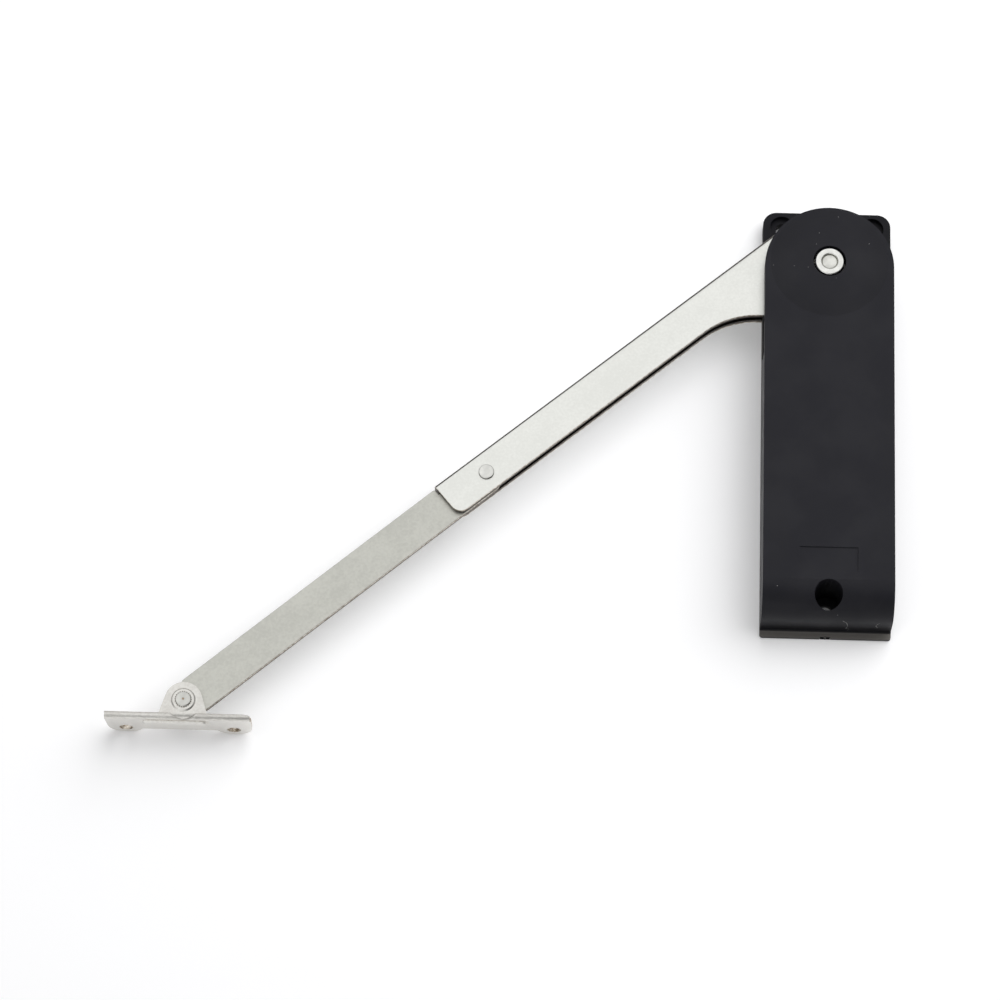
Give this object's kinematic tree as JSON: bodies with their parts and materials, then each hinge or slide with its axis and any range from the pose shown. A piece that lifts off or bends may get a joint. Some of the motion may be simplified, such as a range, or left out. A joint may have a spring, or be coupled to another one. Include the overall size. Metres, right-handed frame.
{
  "type": "lid stay",
  "caption": "Damped lid stay: black plastic case with a folding plated steel arm and a small angle bracket for the lid.",
  "frame": {"origin": "where the arm's pivot axis meets the mounting plane at the back of the case", "axes": "+Z off the cabinet side towards the viewer, +Y from the toe of the case to its head, +X to the right"},
  "size_m": [0.2518, 0.1871, 0.0212],
  "materials": {
    "case_black": "moulded black plastic with a fine satin grain, light scuffs",
    "nickel_sheet": "nickel-plated folded steel, bright, fine marks",
    "lower_nickel": "nickel-plated steel bar, slightly mottled grey",
    "bracket_nickel": "nickel-plated pressed steel, brown in the cut edges",
    "nickel_rivet": "nickel-plated rivet, staked rim",
    "bright_nickel": "bright turned and plated collar",
    "pin_steel": "zinc-plated steel",
    "hardened_steel": "dark hardened steel, oiled",
    "slide_plastic": "natural acetal",
    "slider_plastic": "black acetal",
    "damper_plastic": "grey moulded plastic, oil-filled",
    "stop_rubber": "black rubber",
    "spring_wire": "spring wire"
  },
  "bodies": {
    "case": {"base_plate": "case_black", "front_cover": "case_black", "pivot_pin": "pin_steel", "pin_collar": "bright_nickel", "back_washer": "slide_plastic", "front_washer": "slide_plastic", "stop_pad": "stop_rubber", "case_screws": "pin_steel", "left_damper_cylinder": "damper_plastic", "right_damper_cylinder": "damper_plastic", "left_damper_gland": "slide_plastic", "right_damper_gland": "slide_plastic"},
    "upper_link": {"upper_arm": "nickel_sheet", "cam": "hardened_steel", "hub_spacer": "hardened_steel", "cam_rivets": "hardened_steel", "elbow_rivet": "nickel_rivet"},
    "lower_link": {"lower_arm": "lower_nickel", "elbow_bush": "slide_plastic", "bracket_bush": "slide_plastic"},
    "lid_bracket": {"bracket": "bracket_nickel", "bracket_rivet": "nickel_rivet"},
    "damper_slider": {"slider": "slider_plastic", "follower_roller": "hardened_steel", "left_piston_rod": "pin_steel", "left_piston": "slide_plastic", "right_piston_rod": "pin_steel", "right_piston": "slide_plastic", "return_spring": "spring_wire"}
  },
  "joints": [
    {"name": "arm_swing", "type": "hinge", "parent": "case", "child": "upper_link", "pos_m": [0, 0, 0.0122], "axis": [0, 0, 1], "range_deg": [-130, 0]},
    {"name": "elbow_fold", "type": "hinge", "parent": "upper_link", "child": "lower_link", "pos_m": [-0.11103, -0.07557, 0.0122], "axis": [0, 0, 1], "range_deg": [0, 102]},
    {"name": "bracket_tilt", "type": "hinge", "parent": "lower_link", "child": "lid_bracket", "pos_m": [-0.20536, -0.15606, 0.0122], "axis": [0, 0, 1], "range_deg": [-121, 17]},
    {"name": "slider_travel", "type": "slide", "parent": "case", "child": "damper_slider", "axis": [0, -1, 0], "range_m": [0, 0.0081], "deforming": ["return_spring"]}
  ],
  "couplings": [
    {"joint": "slider_travel", "follows": "arm_swing", "m_per_rad": -0.0035259}
  ]
}
